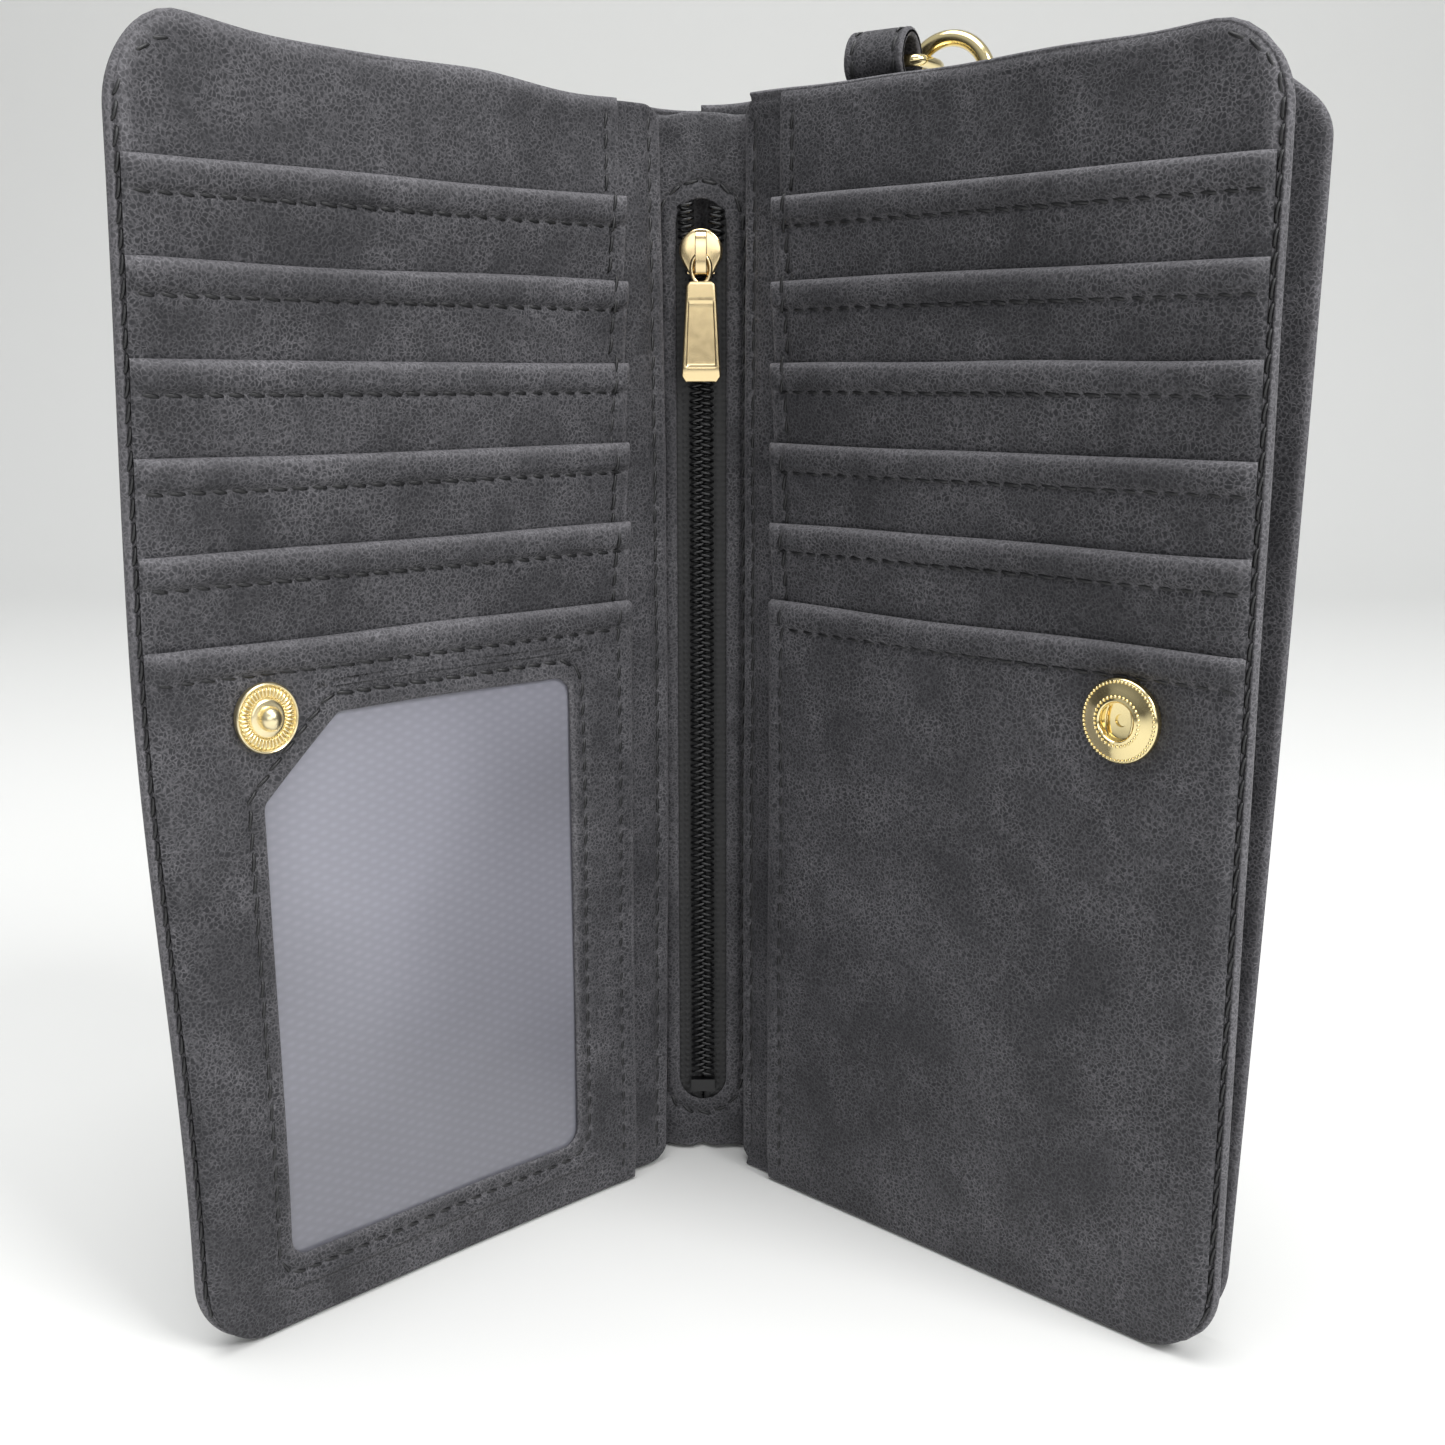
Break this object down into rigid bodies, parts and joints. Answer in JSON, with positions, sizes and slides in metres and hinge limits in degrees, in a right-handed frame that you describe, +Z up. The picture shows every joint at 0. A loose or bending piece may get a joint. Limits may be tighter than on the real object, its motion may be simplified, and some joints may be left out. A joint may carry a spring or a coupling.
{
  "type": "long wallet",
  "caption": "Long bifold wallet standing open: card pockets, clear window pocket, zipped gutter pocket, press stud and a strap ring.",
  "frame": {"origin": "middle of the bounding box on the surface that the wallet stands on", "axes": "+Z up along the wallet's long side, +Y towards the spine, the open leaves face -Y"},
  "size_m": [0.18, 0.083, 0.2059],
  "materials": {
    "leather": "matte sueded polyurethane leather, mottled charcoal",
    "lining": "black woven polyester lining",
    "board": "fibre stiffener",
    "window_film": "clear PVC film with fine mesh, smoky",
    "brass": "polished pale gold plate",
    "zip_nylon": "black nylon coil",
    "zip_tape": "black woven polyester tape"
  },
  "bodies": {
    "spine": {"spine_cover": "leather", "zip_panel": "leather", "zip_tape_left": "zip_tape", "zip_tape_right": "zip_tape", "zip_teeth_left": "zip_nylon", "zip_teeth_right": "zip_nylon", "zip_bottom_stop": "zip_nylon"},
    "left_leaf": {"left_cover": "leather", "left_board": "board", "left_lining": "lining", "left_inner_panel": "leather", "left_card_panel": "leather", "left_card_pocket_1": "leather", "left_card_pocket_2": "leather", "left_card_pocket_3": "leather", "left_card_pocket_4": "leather", "left_card_pocket_5": "leather", "left_id_pocket": "leather", "id_window": "window_film", "snap_stud": "brass", "snap_stud_rivet": "brass"},
    "right_cover": {"right_cover": "leather", "right_board": "board", "right_lining": "lining", "ring_tab": "leather"},
    "right_leaf": {"right_leaf_back": "leather", "coin_pocket_bag": "lining", "right_inner_panel": "leather", "right_card_panel": "leather", "right_card_pocket_1": "leather", "right_card_pocket_2": "leather", "right_card_pocket_3": "leather", "right_card_pocket_4": "leather", "right_card_pocket_5": "leather", "right_large_pocket": "leather", "snap_socket": "brass", "snap_socket_rivet": "brass"},
    "zip_slider": {"zip_slider": "brass"},
    "zip_pull": {"zip_pull_tab": "brass"},
    "d_ring": {"d_ring": "brass"},
    "clip_ring": {"clip_ring": "brass"}
  },
  "joints": [
    {"name": "left_fold", "type": "hinge", "parent": "spine", "child": "left_leaf", "pos_m": [-0.01525, 0.03388, 0], "axis": [0, 0, -1], "range_deg": [-48.2, 42.7]},
    {"name": "right_fold", "type": "hinge", "parent": "spine", "child": "right_cover", "pos_m": [0.00595, 0.03388, 0], "axis": [0, 0, 1], "range_deg": [-56.4, 34.5]},
    {"name": "compartment_open", "type": "hinge", "parent": "right_cover", "child": "right_leaf", "pos_m": [0.00595, 0.03388, 0], "axis": [0, 0, -1], "range_deg": [-9.9, 25]},
    {"name": "zip_slide", "type": "slide", "parent": "spine", "child": "zip_slider", "axis": [0, 0, 1], "range_m": [-0.147, 0], "deforming": ["zip_teeth_left", "zip_teeth_right", "zip_tape_left", "zip_tape_right"]},
    {"name": "pull_swing", "type": "hinge", "parent": "zip_slider", "child": "zip_pull", "pos_m": [-0.00465, 0.03288, 0.1704], "axis": [-1, 0, 0], "range_deg": [0, 140]},
    {"name": "d_ring_swing", "type": "hinge", "parent": "right_cover", "child": "d_ring", "pos_m": [0.00742, 0.03602, 0.2006], "axis": [0.8241, -0.5664, 0], "range_deg": [-10, 70]},
    {"name": "clip_ring_swing", "type": "hinge", "parent": "d_ring", "child": "clip_ring", "pos_m": [0.03539, 0.02516, 0.2006], "axis": [0.5664, 0.8241, 0], "range_deg": [-35, 35]}
  ]
}
